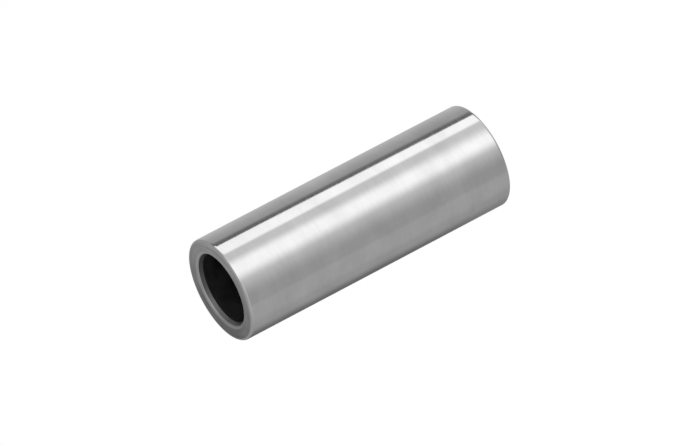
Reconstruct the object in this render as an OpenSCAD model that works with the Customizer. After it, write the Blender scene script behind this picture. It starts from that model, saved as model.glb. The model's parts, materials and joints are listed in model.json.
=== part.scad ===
// Gudgeon pin: a hollow steel pin, turned, bored and ground from one piece of bar.
// It stands on one end, with its axis along Z and the middle of its lower end face at the origin.
// All sizes are in millimetres.

/* [Pin] */
// Diameter of the ground running surface
pin_d = 14; // [13:0.1:30]
// Length over the two end faces
pin_l = 40; // [10:0.5:120]

/* [Bore] */
// Diameter of the bore, which runs right through
bore_d = 9.5; // [3:0.1:10.5]
// Width of the countersink at each mouth of the bore, across the end face
mouth_w = 0.4; // [0.2:0.05:1.2]
// Depth of the countersink at each mouth of the bore, along the axis
mouth_depth = 0.75; // [0.2:0.05:3]
// Radius of the lip where a countersink meets its end face
lip_r = 0.5; // [0.05:0.05:0.8]

/* [Outer edge] */
// Radius of the rounded edge between each end face and the running surface
edge_r = 0.4; // [0.05:0.05:1]

/* [Hidden] */
$fn = 180;
// Straight steps in the arc of one rounded corner
arc_steps = 8;

pin_r = pin_d / 2;
bore_r = bore_d / 2;

// Corners of the wall's section at one end, from the bore out to the running surface.
// Each is [distance from the axis, distance in from the end face, corner radius].
near_corners = [
    [bore_r, mouth_depth, 0],
    [bore_r + mouth_w, 0, lip_r],
    [pin_r, 0, edge_r],
];

// The other end has the same corners in the opposite order, measured from its own end face
far_corners = [
    for (i = [len(near_corners) - 1 : -1 : 0])
        [near_corners[i].x, pin_l - near_corners[i].y, near_corners[i].z]
];

function unit(v) = v / norm(v);

// Points of one corner, given the unit directions back to the corner before it and ahead to the next.
// An arc of radius r leaves one side and joins the other without a kink.
function corner_points(at, back, ahead, r) =
    let (
        half_angle = acos(back * ahead) / 2,
        centre = at + unit(back + ahead) * r / sin(half_angle),
        out = at + back * r / tan(half_angle) - centre,
        start = atan2(out.y, out.x),
        step = (180 - 2 * half_angle) / arc_steps
    )
    r == 0
        ? [at]
        : [for (i = [0 : arc_steps]) centre + r * [cos(start + i * step), sin(start + i * step)]];

// Points of an outline that runs anticlockwise and has only outward corners, each with its own radius
function rounded_outline(corners) =
    let (
        count = len(corners),
        points = [for (c = corners) [c.x, c.y]]
    )
    [
        for (i = [0 : count - 1])
            let (
                back = unit(points[(i + count - 1) % count] - points[i]),
                ahead = unit(points[(i + 1) % count] - points[i])
            )
            each corner_points(points[i], back, ahead, corners[i].z)
    ];

// The whole pin is one turn of its wall's section about the axis
module gudgeon_pin() {
    color([0.68, 0.68, 0.67])
        rotate_extrude()
            polygon(rounded_outline(concat(near_corners, far_corners)));
}

gudgeon_pin();
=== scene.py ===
# %% [markdown]
# # A gudgeon pin
# A gudgeon pin is the short hollow steel pin on which a connecting rod swings inside its piston.
# It is one piece: turned and bored from bar, hardened, and then ground on its outside.
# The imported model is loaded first, because it fixes where the pin stands and how large it is.
# The model's box is kept from the start, so that the finished piece can be compared with it at the end.

# %% Load the frame
import json
import math

import bmesh
import bpy
from mathutils import Matrix, Vector


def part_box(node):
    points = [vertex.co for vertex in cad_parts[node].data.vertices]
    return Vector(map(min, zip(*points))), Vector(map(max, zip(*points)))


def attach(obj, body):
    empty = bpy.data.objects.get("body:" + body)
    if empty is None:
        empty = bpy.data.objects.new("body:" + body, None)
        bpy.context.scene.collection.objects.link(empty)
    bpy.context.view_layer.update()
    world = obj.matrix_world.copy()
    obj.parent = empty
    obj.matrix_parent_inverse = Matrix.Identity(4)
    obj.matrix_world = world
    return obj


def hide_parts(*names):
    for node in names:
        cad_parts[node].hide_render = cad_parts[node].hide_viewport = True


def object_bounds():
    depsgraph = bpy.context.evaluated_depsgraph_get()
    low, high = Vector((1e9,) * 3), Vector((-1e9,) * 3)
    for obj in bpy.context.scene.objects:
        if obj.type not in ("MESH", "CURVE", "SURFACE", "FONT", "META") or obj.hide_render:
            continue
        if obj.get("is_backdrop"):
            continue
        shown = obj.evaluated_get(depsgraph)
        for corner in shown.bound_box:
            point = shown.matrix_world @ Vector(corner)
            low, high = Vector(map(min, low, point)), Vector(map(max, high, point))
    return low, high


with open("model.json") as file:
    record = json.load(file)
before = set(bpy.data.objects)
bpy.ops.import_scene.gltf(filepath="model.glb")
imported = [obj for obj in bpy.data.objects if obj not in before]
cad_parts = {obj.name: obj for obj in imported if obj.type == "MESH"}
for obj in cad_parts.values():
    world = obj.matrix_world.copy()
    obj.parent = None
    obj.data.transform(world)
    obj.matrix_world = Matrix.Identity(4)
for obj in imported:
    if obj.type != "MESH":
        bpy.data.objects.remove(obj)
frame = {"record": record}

MM = 0.001
cad_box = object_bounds()
print("box of the model:", [[round(x / MM, 3) for x in corner] for corner in cad_box], "mm")

# %% [markdown]
# ## Sizes
# Every size could be typed in again here, but then the piece wouldn't follow a change to the model.
# So the sizes are read from the model: the radius and the length from its box, the rest from its mounts.
# The running surface ends where the rounded edges start, and the bore ends where the countersinks start,
# so the lengths of those two mounts also give the radius of the edges and the depth of the countersinks.
# Only a countersink's width and the radius of its lip are written down, as in the pin's drawing.

# %% Read the sizes
PIN_NODE = "gudgeon_pin"
lowest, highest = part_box(PIN_NODE)
pin_radius = (highest[0] - lowest[0]) / 2
pin_length = highest[2] - lowest[2]
fits = {mount["name"]: mount["dims"] for mount in frame["record"]["mounts"]}
bore_radius = fits["bore"]["r_mm"] * MM
edge_round = (pin_length - fits["running_surface"]["length_mm"] * MM) / 2
sink_depth = (pin_length - fits["bore"]["length_mm"] * MM) / 2
sink_width = 0.4 * MM
lip_round = 0.5 * MM
print(f"pin {2 * pin_radius / MM:.2f} mm across and {pin_length / MM:.2f} mm long")
print(f"bore {2 * bore_radius / MM:.2f} mm across, outer edges rounded to {edge_round / MM:.2f} mm")
print(f"countersinks {sink_width / MM:.2f} mm wide and {sink_depth / MM:.2f} mm deep")

# %% [markdown]
# ## The wall's section
# A lathe makes this pin, and the model is made the same way:
# first a flat section of the wall, then a full turn.
# The section could be drawn point by point, but a plane that is scaled and then cut
# keeps every corner exactly where the sizes put it.
# Everything is deselected first, because an operator acts on all that is selected.

# %% Lay down the plane
bpy.ops.object.select_all(action="DESELECT")
wall = pin_radius - bore_radius
wall_middle = (pin_radius + bore_radius) / 2
half_length = pin_length / 2
upright = (math.pi / 2, 0, 0)
bpy.ops.mesh.primitive_plane_add(size=1, location=(wall_middle, 0, half_length), rotation=upright)
pin = bpy.context.active_object
pin.name = "ground_pin"
pin.scale = (wall, pin_length, 1)
bpy.ops.object.transform_apply(location=True, rotation=True, scale=True)
print("corners of the blank:", [tuple(round(x / MM, 3) for x in v.co) for v in pin.data.vertices], "mm")

# %% [markdown]
# ## The countersinks
# The countersink at each mouth of the bore leads in a drift or the rod of an extractor.
# Bisect cuts the section along a line and throws one side away, like a pass of the lathe tool.
# A bevel would be quicker, but it takes as much from one side of a corner as from the other,
# and this countersink is nearly twice as deep as it is wide.
# Points closer to the line than the threshold count as lying on it, so on a small part it is small too.

# %% Cut the inner corners
TOUCHING = 0.002 * MM
sink_slope = math.atan2(sink_depth, sink_width)
bpy.ops.object.mode_set(mode="EDIT")
for end in (-1, 1):
    bpy.ops.mesh.select_all(action="SELECT")
    bpy.ops.mesh.bisect(
        plane_co=(bore_radius, 0, half_length + end * (half_length - sink_depth)),
        plane_no=(-math.sin(sink_slope), 0, end * math.cos(sink_slope)),
        clear_outer=True,
        threshold=TOUCHING,
    )
print("corners of the section:", len(bmesh.from_edit_mesh(pin.data).verts))

# %% [markdown]
# ## Rounded edges
# No outer edge of a finished pin is sharp, and it is the small radii that catch the light as thin rings.
# A vertex bevel turns one corner of the section into an arc. Its offset is measured along the sides,
# so it is worked out from the radius and from how far the outline turns at the corner.
# The line where a countersink runs into the bore stays crisp, as the tools leave it.

# %% Round the corners
ARC_STEPS = 8
ROUND_PROFILE = 0.5


def round_corners(from_axis, turn, radius):
    """Rounds the section's corners at this distance from the axis, where the outline turns by this angle."""
    section = bmesh.from_edit_mesh(pin.data)
    for v in section.verts:
        v.select = abs(v.co.x - from_axis) < TOUCHING
    section.select_flush_mode()
    bmesh.update_edit_mesh(pin.data)
    bpy.ops.mesh.bevel(
        affect="VERTICES",
        offset_type="OFFSET",
        offset=radius * math.tan(turn / 2),
        segments=ARC_STEPS,
        profile=ROUND_PROFILE,
    )


bpy.ops.mesh.select_mode(type="VERT")
round_corners(pin_radius, math.pi / 2, edge_round)
round_corners(bore_radius + sink_width, sink_slope, lip_round)
print("points of the rounded section:", len(bmesh.from_edit_mesh(pin.data).verts))

# %% [markdown]
# ## One turn of the lathe
# Spin carries the section round the axis. Only its outline is spun: with its face still there,
# a wall would be left across the inside. After a full turn the last outline lies on the first.
# Spin joins the two by itself, and any doubles that are left are merged to be sure.
# Only then are the normals made to point outwards.
# An edge that doesn't lie between exactly two faces would be a leak, so such edges are counted.

# %% Spin the section
SIDES = 256
FULL_TURN = 2 * math.pi
bpy.ops.mesh.select_all(action="SELECT")
bpy.ops.mesh.delete(type="ONLY_FACE")
bpy.ops.mesh.select_all(action="SELECT")
bpy.ops.mesh.spin(steps=SIDES, angle=FULL_TURN, center=(0, 0, 0), axis=(0, 0, 1))
bpy.ops.mesh.select_all(action="SELECT")
bpy.ops.mesh.remove_doubles(threshold=TOUCHING)
bpy.ops.mesh.normals_make_consistent(inside=False)
leaks = sum(not edge.is_manifold for edge in bmesh.from_edit_mesh(pin.data).edges)
bpy.ops.object.mode_set(mode="OBJECT")
print("faces:", len(pin.data.polygons), "leaks:", leaks)

# %% [markdown]
# ## Shading
# The arcs are made of short steps, so the surface is shaded smooth.
# A step turns by less than the angle set here and the crisp line in the bore by more,
# so only that line is kept as an edge, once at each end.
# Plain smooth shading would let the narrow steps bend the light on the long ground surface beside them.
# Weighted normals give the large faces the say, and the ground surface stays a true cylinder.

# %% Smooth the surface
CRISP_ANGLE = math.radians(20)
bpy.ops.object.shade_smooth_by_angle(angle=CRISP_ANGLE)
weighted = pin.modifiers.new("weighted normals", "WEIGHTED_NORMAL")
weighted.keep_sharp = True
bpy.ops.object.modifier_apply(modifier=weighted.name)
print("crisp edges:", sum(edge.use_edge_sharp for edge in pin.data.edges), "in two rings of", SIDES)

# %% [markdown]
# ## A map that follows the turning
# The marks of turning and grinding run round the pin, and so does its map:
# u goes once round the axis, and v follows the outline of the section.
# An automatic unwrap would cut the pin into islands that lie anyhow.
# This map is one rectangle, and it tells the shader which way the marks run.
# First the outline's points are put in order by their direction from the middle of the wall, and measured.
# They start at the lower corner of the bore and end at its upper one.

# %% Measure along the outline
outline = [v.co.copy() for v in pin.data.vertices if v.co.x > 0 and abs(v.co.y) < TOUCHING]
outline.sort(key=lambda p: math.atan2((p.z - half_length) * wall / pin_length, p.x - wall_middle))
reached = [0.0]
for before, point in zip(outline, outline[1:]):
    reached.append(reached[-1] + (point - before).length)
outline_length = reached[-1] + (outline[0] - outline[-1]).length
print(len(outline), "points on the outline,", round(outline_length / MM, 2), "mm all the way round it")

# %% [markdown]
# ## Writing the map
# Each corner of each face is then given its place on the map, which has the angle 0 in its middle.
# The angle of a corner is counted from the middle of its face,
# so that no face is stretched back over the whole map where the turn closes.
# The bore's own faces close the outline, so their lower edge lies at its end and not at its start.

# %% Write the map
MAP_MIDDLE = 0.5
unrolled = pin.data.uv_layers.new(name="OFBake")


def spun_from(point):
    """The number of the outline's point from which this one was spun."""
    radius = math.hypot(point.x, point.y)
    return min(range(len(outline)), key=lambda i: abs(outline[i].x - radius) + abs(outline[i].z - point.z))


station = [spun_from(v.co) for v in pin.data.vertices]
for face in pin.data.polygons:
    middle_angle = math.atan2(face.center.y, face.center.x)
    in_bore = {0, len(outline) - 1} == {station[i] for i in face.vertices}
    for corner in face.loop_indices:
        index = pin.data.loops[corner].vertex_index
        point = pin.data.vertices[index].co
        step = math.atan2(point.y, point.x) - middle_angle
        step = (step + math.pi) % FULL_TURN - math.pi
        closing = in_bore and station[index] == 0
        along = outline_length if closing else reached[station[index]]
        around = MAP_MIDDLE + (middle_angle + step) / FULL_TURN
        unrolled.data[corner].uv = (around, along / outline_length)
map_width = max(loop.uv.x for loop in unrolled.data) - min(loop.uv.x for loop in unrolled.data)
map_height = max(loop.uv.y for loop in unrolled.data) - min(loop.uv.y for loop in unrolled.data)
print(f"map: {map_width:.3f} wide and {map_height:.3f} high, with {len(unrolled.data)} corners on it")

# %% [markdown]
# ## Ground steel
# Five finishes meet on this one piece of steel, and the ground running surface is the first.
# A finish is a material, and a material is a tree of nodes that ends in a shader.
# The nodes could be laid out by hand in the shader editor. A small helper does the same in one line:
# it adds a node, sets it up, and links or fills its inputs.
# Bare steel is metal all over, so that is set on the shader itself.

# %% Start the ground steel


def new_finish(name):
    """A new material of bare metal, with its tree of nodes and its shader."""
    material = bpy.data.materials.new(name)
    material.use_nodes = True
    shader = material.node_tree.nodes["Principled BSDF"]
    shader.inputs["Metallic"].default_value = 1.0
    return material, material.node_tree, shader


def add_node(tree, kind, inputs=None, **settings):
    """Adds a node, with its settings and with values or links for its inputs."""
    node = tree.nodes.new(kind)
    for name, value in settings.items():
        setattr(node, name, value)
    for name, value in (inputs or {}).items():
        if isinstance(value, bpy.types.NodeSocket):
            tree.links.new(value, node.inputs[name])
        else:
            node.inputs[name].default_value = value
    return node


ground_steel, tree, shader = new_finish("ground_surface")
print("finish:", ground_steel.name, "with the shader", shader.name)

# %% [markdown]
# ## Grinding marks
# The grinding wheel leaves fine marks that run round the pin, a few tenths of a millimetre apart.
# A picture of scratches would show its seam. A noise that is squeezed along the axis has none,
# and it stays sharp however close the camera comes.
# Most of a noise lies in the middle of its range, so that part is spread out before it is used.
# The marks vary the roughness, and as a very low bump they also catch the light.

# %% Draw the grinding marks
NOISE_MIDDLE = (0.3, 0.7)
MARK_HEIGHT = 0.002 * MM


def turned_noise(tree, around, along, detail=4.0):
    """A noise drawn out round the pin. The two sizes are those of one mark."""
    place = add_node(tree, "ShaderNodeTexCoord").outputs["Object"]
    squeeze = (1 / around, 1 / around, 1 / along)
    squeezed = add_node(tree, "ShaderNodeMapping", {"Vector": place, "Scale": squeeze}).outputs["Vector"]
    noise = add_node(tree, "ShaderNodeTexNoise", {"Vector": squeezed, "Scale": 1.0, "Detail": detail})
    return noise.outputs["Fac"]


def follow(tree, reading, start, end, low, high, curve="LINEAR"):
    """Goes from low to high while the reading goes from start to end."""
    inputs = {"Value": reading, "From Min": start, "From Max": end, "To Min": low, "To Max": high}
    return add_node(tree, "ShaderNodeMapRange", inputs, interpolation_type=curve).outputs["Result"]


def spread(tree, noise, low, high):
    """Spreads the middle of a noise's range from low to high."""
    return follow(tree, noise, *NOISE_MIDDLE, low, high)


marks = turned_noise(tree, around=3 * MM, along=0.4 * MM)
tree.links.new(spread(tree, marks, low=0.07, high=0.11), shader.inputs["Roughness"])
bump = add_node(tree, "ShaderNodeBump", {"Height": marks, "Distance": MARK_HEIGHT, "Strength": 1.0})
tree.links.new(bump.outputs["Normal"], shader.inputs["Normal"])
print("nodes with the grinding marks:", len(tree.nodes))

# %% [markdown]
# ## The colour of the steel
# One flat grey would look like plastic. Handling and oil have left faint clouds on the steel,
# large and small, and each mark is a little lighter or darker than the next.
# Both are neutral, so a single brightness drives all three parts of the colour.
# Seen at a glancing angle, steel mirrors less than the shader's simple rule says.
# On a metal the shader's specular tint sets that share. Without it the outlines would melt into the white.

# %% Colour the ground steel
GLANCING = 0.77


def calculate(tree, operation, first, second):
    """One step of arithmetic between two readings."""
    return add_node(tree, "ShaderNodeMath", {0: first, 1: second}, operation=operation).outputs["Value"]


def paint_grey(tree, shader, brightness):
    """Gives the shader a neutral colour of this brightness."""
    parts = {"Red": brightness, "Green": brightness, "Blue": brightness}
    colour = add_node(tree, "ShaderNodeCombineColor", parts).outputs["Color"]
    tree.links.new(colour, shader.inputs["Base Color"])


clouds = turned_noise(tree, around=6 * MM, along=4 * MM, detail=5.0)
steel = spread(tree, clouds, low=0.58, high=0.67)
streaks = spread(tree, marks, low=0.98, high=1.02)
paint_grey(tree, shader, calculate(tree, "MULTIPLY", steel, streaks))
shader.inputs["Specular Tint"].default_value = (GLANCING, GLANCING, GLANCING, 1)
print("nodes with the colour:", len(tree.nodes))

# %% [markdown]
# ## Shine across the marks
# A ground surface mirrors clearly along its marks and blurs across them.
# On this pin that draws each light out along the axis.
# A rougher metal would blur both ways and turn dull. The shader's anisotropic shine does what the marks do,
# once its tangent follows the map's u. A quarter turn then lays the blur across the marks.

# %% Lay the shine across the marks
QUARTER_TURN = 0.25


def shine_across_marks(tree, shader, strength):
    """Makes the shine spread across marks that run round the pin."""
    tangent = add_node(tree, "ShaderNodeTangent", direction_type="UV_MAP", uv_map=unrolled.name)
    tree.links.new(tangent.outputs["Tangent"], shader.inputs["Tangent"])
    shader.inputs["Anisotropic"].default_value = strength
    shader.inputs["Anisotropic Rotation"].default_value = QUARTER_TURN


shine_across_marks(tree, shader, strength=0.6)
print("anisotropy of the ground steel:", round(shader.inputs["Anisotropic"].default_value, 2))

# %% [markdown]
# ## Turned ends
# The flat ends are turned and not ground, so they are duller, and the tool has left fine rings on them.
# A noise that is squeezed along the axis shows no marks on a flat end, so the rings are drawn another way.
# A noise can have a fourth coordinate besides the three of space. Here that one follows the map's v,
# which runs straight across the ring of an end, and so the noise changes from mark to mark.

# %% Turn the ends
RING_DETAIL = 4.0


def ringed_noise(tree, around, across):
    """A noise in rings round the axis, on a flat end too. The two sizes are those of one mark."""
    place = add_node(tree, "ShaderNodeTexCoord").outputs["Object"]
    on_map = add_node(tree, "ShaderNodeUVMap", uv_map=unrolled.name).outputs["UV"]
    map_v = add_node(tree, "ShaderNodeSeparateXYZ", {"Vector": on_map}).outputs["Y"]
    drift = calculate(tree, "MULTIPLY", map_v, outline_length * around / across)
    inputs = {"Vector": place, "W": drift, "Scale": 1 / around, "Detail": RING_DETAIL}
    return add_node(tree, "ShaderNodeTexNoise", inputs, noise_dimensions="4D").outputs["Fac"]


turned_ends, tree, shader = new_finish("turned_ends")
marks = ringed_noise(tree, around=5 * MM, across=0.3 * MM)
tree.links.new(spread(tree, marks, low=0.26, high=0.38), shader.inputs["Roughness"])
shine_across_marks(tree, shader, strength=0.5)
print("finish:", turned_ends.name, "with", len(tree.nodes), "nodes")

# %% [markdown]
# ## Dark scale and painted light
# Hardening left the ends a dark scale. Over it they are painted lighter towards one side and darker towards
# the other: painted light and shade.
# A gradient alone would look airbrushed. Here a noise shifts it to and fro, so that its border wanders.

# %% Colour the turned ends
# The side towards which the ends and the lips are painted lighter: painted light and shade.
PAINTED_LIGHT_SIDE = (0.81, -0.59, 0.0)
PATCH_SIZE = 3 * MM
PATCH_SHIFT = 1.5 * MM
PATCH_DETAIL = 2.0


def painted_side_light(tree, side, least, most):
    """Painted light and shade: a brightness that rises across the pin towards one side, in uneven patches.
    """
    place = add_node(tree, "ShaderNodeTexCoord").outputs["Object"]
    inputs = {"Vector": place, "Scale": 1 / PATCH_SIZE, "Detail": PATCH_DETAIL}
    patches = add_node(tree, "ShaderNodeTexNoise", inputs)
    shift = spread(tree, patches.outputs["Fac"], -PATCH_SHIFT, PATCH_SHIFT)
    across = add_node(tree, "ShaderNodeVectorMath", {0: place, 1: side}, operation="DOT_PRODUCT")
    shifted = calculate(tree, "ADD", across.outputs["Value"], shift)
    return follow(tree, shifted, -pin_radius, pin_radius, least, most)


# Painted light and shade: the ends' dark tone grows lighter towards one side.
painted_light_tone = painted_side_light(tree, PAINTED_LIGHT_SIDE, least=0.18, most=0.50)
streaks = spread(tree, marks, low=0.78, high=1.22)
paint_grey(tree, shader, calculate(tree, "MULTIPLY", painted_light_tone, streaks))
print("nodes with the rubbed scale:", len(tree.nodes))

# %% [markdown]
# ## The rubbed lip
# The lip round each countersink is where things rub, so it is the brightest part of an end.
# It is also worn matt, which shows it as a soft pale ring and not as a sharp glint.
# A lighter stripe in the ends' own finish would be the wrong gloss, so the lip has a finish of its own.
# Like the ends, it is painted lighter towards one side: painted light and shade.

# %% Make the rubbed lip
rubbed_lip, tree, shader = new_finish("rubbed_lip")
marks = ringed_noise(tree, around=3 * MM, across=0.2 * MM)
# Painted light and shade: the lip is lighter towards one side, as the ends are.
painted_light_tone = painted_side_light(tree, PAINTED_LIGHT_SIDE, least=0.40, most=0.66)
streaks = spread(tree, marks, low=0.94, high=1.06)
paint_grey(tree, shader, calculate(tree, "MULTIPLY", painted_light_tone, streaks))
tree.links.new(spread(tree, marks, low=0.42, high=0.52), shader.inputs["Roughness"])
shine_across_marks(tree, shader, strength=0.3)
print("finish:", rubbed_lip.name, "with", len(tree.nodes), "nodes")

# %% [markdown]
# ## The dark countersink
# Little reaches into a countersink, so it kept most of its scale.
# It is made like the ends, but darker and rougher, and it is painted lighter towards another side: painted
# light and shade.
# Its shine has no direction, because scale has filled the marks of the tool, which show only as streaks.

# %% Make the dark countersink
# The side towards which the countersinks are painted lighter: painted light and shade.
SINK_PAINTED_LIGHT_SIDE = (-1.0, 0.0, 0.0)
dark_sink, tree, shader = new_finish("dark_sink")
marks = ringed_noise(tree, around=3 * MM, across=0.3 * MM)
# The scale's dark tone, painted lighter towards one side: painted light and shade.
scale = painted_side_light(tree, SINK_PAINTED_LIGHT_SIDE, least=0.08, most=0.22)
streaks = spread(tree, marks, low=0.85, high=1.15)
paint_grey(tree, shader, calculate(tree, "MULTIPLY", scale, streaks))
tree.links.new(spread(tree, marks, low=0.40, high=0.55), shader.inputs["Roughness"])
print("finish:", dark_sink.name, "with", len(tree.nodes), "nodes")

# %% [markdown]
# ## The black bore
# The bore is never ground, and it keeps the black scale of hardening all over.
# Scale is an oxide, so here the shader's metal is turned off and only a weak gloss is left.
# A plain black would look like a hole cut in the picture. A coarse noise gives the scale a little depth.

# %% Make the black bore
WEAK_GLOSS = 0.2
black_bore, tree, shader = new_finish("black_bore")
shader.inputs["Metallic"].default_value = 0.0
shader.inputs["Specular IOR Level"].default_value = WEAK_GLOSS
scale = turned_noise(tree, around=2 * MM, along=1 * MM)
paint_grey(tree, shader, spread(tree, scale, low=0.010, high=0.023))
tree.links.new(spread(tree, scale, low=0.55, high=0.75), shader.inputs["Roughness"])
print("finish:", black_bore.name, "with", len(tree.nodes), "nodes")

# %% [markdown]
# ## Where each finish goes
# The finishes could be given out face by face. On a turned piece the way that a face looks is enough:
# in the bore it looks straight at the axis, on an end along it, and on the running surface away from it.
# The list goes from the inside out. A face takes the first finish with a limit above its own outward look,
# which is -1 in the bore, 0 on an end and 1 on the running surface.

# %% Give each face its finish
FINISHES = [
    (-0.99, black_bore),
    (-0.85, dark_sink),
    (-0.35, rubbed_lip),
    (0.15, turned_ends),
    (1.01, ground_steel),
]
for limit, finish in FINISHES:
    pin.data.materials.append(finish)
for face in pin.data.polygons:
    outward = face.normal.xy.dot(face.center.xy.normalized())
    face.material_index = next(i for i, (limit, finish) in enumerate(FINISHES) if outward < limit)
for i, (limit, finish) in enumerate(FINISHES):
    print(finish.name, "on", sum(face.material_index == i for face in pin.data.polygons), "faces")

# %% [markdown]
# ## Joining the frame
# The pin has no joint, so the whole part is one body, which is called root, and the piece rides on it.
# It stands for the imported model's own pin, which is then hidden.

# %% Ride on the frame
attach(pin, "root")
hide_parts(PIN_NODE)
print(pin.name, "rides on root in place of", PIN_NODE)

# %% [markdown]
# ## The floor
# The pin stands on a white floor in a white room, with no shadow and no horizon.
# A lit floor would turn grey and show a shadow, so this one gives off its own light.
# It is kept out of the steel's reflections, because those come from a light tent.

# %% Lay the floor
FLOOR_SIZE = 8
WHITE = (1, 1, 1, 1)


def new_glow(name, strength=1.0):
    """A material that only gives off white light, and the input that sets how strongly."""
    material = bpy.data.materials.new(name)
    material.use_nodes = True
    material.node_tree.nodes.clear()
    glow = add_node(material.node_tree, "ShaderNodeEmission", {"Color": WHITE, "Strength": strength})
    add_node(material.node_tree, "ShaderNodeOutputMaterial", {"Surface": glow.outputs["Emission"]})
    return material, glow.inputs["Strength"]


bpy.ops.object.select_all(action="DESELECT")
bpy.ops.mesh.primitive_plane_add(size=FLOOR_SIZE)
floor = bpy.context.active_object
floor.name = "floor"
floor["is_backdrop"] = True
white_floor, floor_light = new_glow("white_floor")
floor.data.materials.append(white_floor)
floor.visible_glossy = False
floor.visible_diffuse = False
floor.visible_shadow = False
print("floor", FLOOR_SIZE, "m wide, glowing at", floor_light.default_value)

# %% [markdown]
# ## The room
# The room is the scene's world, and it fills whatever the floor doesn't reach.
# The standard view transform shows each brightness as it is.
# Blender's usual one would turn pure white into a pale grey.

# %% Paint the room
scene = bpy.context.scene
room = bpy.data.worlds.new("white_room")
room.use_nodes = True
background = room.node_tree.nodes["Background"]
background.inputs["Color"].default_value = WHITE
background.inputs["Strength"].default_value = 1.0
scene.world = room
scene.view_settings.view_transform = "Standard"
print("world:", scene.world.name, "seen through the transform", scene.view_settings.view_transform)

# %% [markdown]
# ## The camera
# The camera looks down on the upper end of the standing pin, and it is rolled, so that the pin seems to lie.
# A long lens from far away keeps the two sides of the pin nearly parallel.
# The lens and the width of the sensor are in millimetres, as on a real camera.
# Three angles would have to be tried out by hand, so the view is built up instead:
# first towards the pin from this height, then the roll.

# %% Place the camera
ELEVATION = math.radians(23.2)
ROLL = math.radians(-90 - 27.7)
DISTANCE = 1.221
FRAMING = Vector((0.02 * MM, 0, 0.07 * MM))
LONG_LENS = 500
FULL_FRAME = 36
bpy.ops.object.select_all(action="DESELECT")
bpy.ops.object.camera_add()
camera = bpy.context.active_object
camera.name = "camera"
camera.data.lens = LONG_LENS
camera.data.sensor_width = FULL_FRAME
camera.data.clip_end = 2 * FLOOR_SIZE
towards_camera = Vector((0, -math.cos(ELEVATION), math.sin(ELEVATION)))
spot = Vector((0, 0, half_length)) + FRAMING + DISTANCE * towards_camera
looking = towards_camera.to_track_quat("Z", "Y").to_matrix().to_4x4()
camera.matrix_world = Matrix.Translation(spot) @ looking @ Matrix.Rotation(ROLL, 4, "Z")
scene.camera = camera
print("camera at", [round(x, 3) for x in camera.matrix_world.translation], "m")

# %% [markdown]
# ## The light tent
# Polished steel has hardly any look of its own: it shows what stands round it.
# Lamps would only leave small spots on it, so the pin stands in a light tent, a cylinder of glowing cloth.
# The camera looks straight through the tent, which is there for the reflections alone.
# It also looks down, so the side of the pin mirrors what is lower than the pin:
# the tent reaches far below the floor, which the reflections leave out.
# Its two ends glow evenly, and its wall gets brighter and darker panels in the next cells.

# %% Put up the tent
TENT_RADIUS = 0.3
TENT_FOOT = -0.9
TENT_TOP = 0.45
TENT_SIDES = 128
PLAIN_CLOTH = 0.45
bpy.ops.object.select_all(action="DESELECT")
bpy.ops.mesh.primitive_cylinder_add(
    vertices=TENT_SIDES,
    radius=TENT_RADIUS,
    depth=TENT_TOP - TENT_FOOT,
    location=(0, 0, (TENT_TOP + TENT_FOOT) / 2),
)
tent = bpy.context.active_object
tent.name = "light_tent"
bpy.ops.object.transform_apply(location=True)
tent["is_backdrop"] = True
tent.visible_camera = False
tent.visible_shadow = False
wall_cloth, wall_light = new_glow("tent_wall")
end_cloth, end_light = new_glow("tent_ends", PLAIN_CLOTH)
tent.data.materials.append(wall_cloth)
tent.data.materials.append(end_cloth)
for face in tent.data.polygons:
    face.material_index = int(abs(face.normal.z) > face.normal.xy.length)
wall_faces = sum(face.material_index == 0 for face in tent.data.polygons)
print("tent:", wall_faces, "faces of wall cloth, ends glowing at", round(end_light.default_value, 2))

# %% [markdown]
# ## Finding the way round the tent
# A panel needs a place on the wall: a height, in metres, and a turn, the angle round the tent in degrees.
# A turn of 0 is on the camera's side, and it grows towards the lower side of the pin in the picture.
# It jumps where it closes at the back, so what hangs there is measured from the back instead.
# The bands of light in the picture run slightly askew along the pin. So some edges lean:
# their angle changes over that height of the wall which the side of the pin mirrors to the camera.

# %% Measure angles on the wall
LEAN = 2.5
DEGREES = 180 / math.pi
cloth = wall_cloth.node_tree
place = add_node(cloth, "ShaderNodeTexCoord").outputs["Object"]
parts = add_node(cloth, "ShaderNodeSeparateXYZ", {"Vector": place}).outputs
height = parts["Z"]
minus_x = calculate(cloth, "MULTIPLY", parts["X"], -1.0)
minus_y = calculate(cloth, "MULTIPLY", parts["Y"], -1.0)
turn = calculate(cloth, "MULTIPLY", calculate(cloth, "ARCTAN2", minus_x, minus_y), DEGREES)
from_back = calculate(cloth, "MULTIPLY", calculate(cloth, "ARCTAN2", parts["X"], parts["Y"]), DEGREES)
mirrored_low = -TENT_RADIUS * math.tan(ELEVATION)
mirrored_high = mirrored_low + pin_length
lean = follow(cloth, height, mirrored_low, mirrored_high, -LEAN, LEAN)
leaning_turn = calculate(cloth, "ADD", turn, lean)
print(f"the side of the pin mirrors the wall from {mirrored_low:.4f} to {mirrored_high:.4f} m")

# %% [markdown]
# ## The front panels
# A panel is an amount of light between soft edges. It could be a mesh of its own, but with hard edges.
# As a product of fades on one wall it is as soft as cloth,
# and a dark panel is simply one that takes light away.
# A narrow white strip and a black card beside it draw the crisp line along the pin.
# Then come a broad pale sheet, and on it a softbox for the main band of light, with a paler fringe low down.
# The strip and the card stay low, or the ends of the pin would mirror them as well.
# Far down the lights are weaker. The rounded edge of the far end looks down there,
# and so it shows as a fine grey line.

# %% Hang the front panels
panels = {}


def rises(reading, start, end):
    """A soft edge with nothing before its start and all the light after its end."""
    return follow(cloth, reading, start, end, 0, 1, curve="SMOOTHSTEP")


def falls(reading, start, end):
    """A soft edge with all the light before its start and nothing after its end."""
    return follow(cloth, reading, start, end, 1, 0, curve="SMOOTHSTEP")


def hang(name, light, *edges):
    """Hangs one panel: its light, let through by each of its edges."""
    for edge in edges:
        light = calculate(cloth, "MULTIPLY", light, edge)
    panels[name] = light


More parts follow.
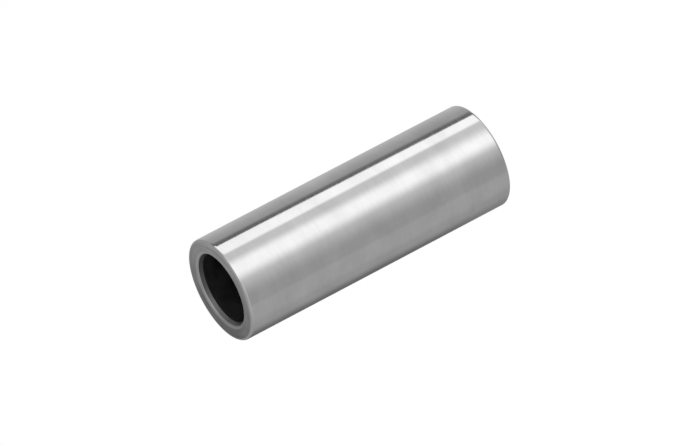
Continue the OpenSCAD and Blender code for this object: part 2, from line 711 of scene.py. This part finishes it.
weak_far_down = follow(cloth, height, -0.27, -0.17, 0.6, 1, curve="SMOOTHSTEP")
under_end = falls(height, 0.06, 0.22)
strip_start = (leaning_turn, -90.2, -88.2)
hang("white strip", 0.99, rises(*strip_start), falls(turn, -68, -61), under_end, weak_far_down)
hang("black card", -0.26, rises(leaning_turn, -107, -96), falls(*strip_start), under_end)
hang("pale sheet", 0.39, rises(turn, -68, -62), falls(turn, -12, 41), weak_far_down)
hang("softbox", 0.60, rises(leaning_turn, -48, -27.5), falls(turn, -18, 7.5), weak_far_down)
hang("softbox fringe", 0.12, rises(turn, -53, -42), falls(turn, -40, -30), falls(height, -0.122, -0.112))
print("in front:", ", ".join(panels))

# %% [markdown]
# ## The other panels
# Along its two outlines the pin mirrors the back of the tent. A pale panel there lights the upper outline,
# and a dark one shades the lower outline, which sets the steel off from the white floor.
# Both stay low, out of the way of the ends. The dark one fades out far down,
# so its shade fades towards the far end of the pin. The lower side of the pin gets one faint panel more,
# and a high one lights the rounded edge of the near end, which looks upwards.

# %% Hang the other panels
low_down = falls(height, -0.02, 0.06)
not_far_down = rises(height, -0.145, -0.115)
high_up = rises(height, 0.0, 0.08)
hang("pale back", 0.33, rises(from_back, -5, 20), falls(from_back, 18, 82), low_down)
hang("dark back", -0.23, rises(from_back, -63, -26), falls(from_back, 0, 20), low_down, not_far_down)
hang("faint side", 0.05, rises(turn, 56, 64), falls(turn, 90, 112))
hang("edge light", 0.16, rises(turn, 4, 20), falls(turn, 30, 110), high_up)
brightness = PLAIN_CLOTH
for panel in panels.values():
    brightness = calculate(cloth, "ADD", brightness, panel)
cloth.links.new(brightness, wall_light)
print("on the wall:", ", ".join(panels))

# %% [markdown]
# ## The size, once more
# The finished piece must be neither larger nor smaller than the imported model.
# Both boxes are measured, and their largest difference is printed.

# %% Compare the boxes
visual_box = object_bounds()
differences = [abs(a - b) for cad, visual in zip(cad_box, visual_box) for a, b in zip(cad, visual)]
print(f"largest difference between the boxes: {max(differences) / MM:.4f} mm")
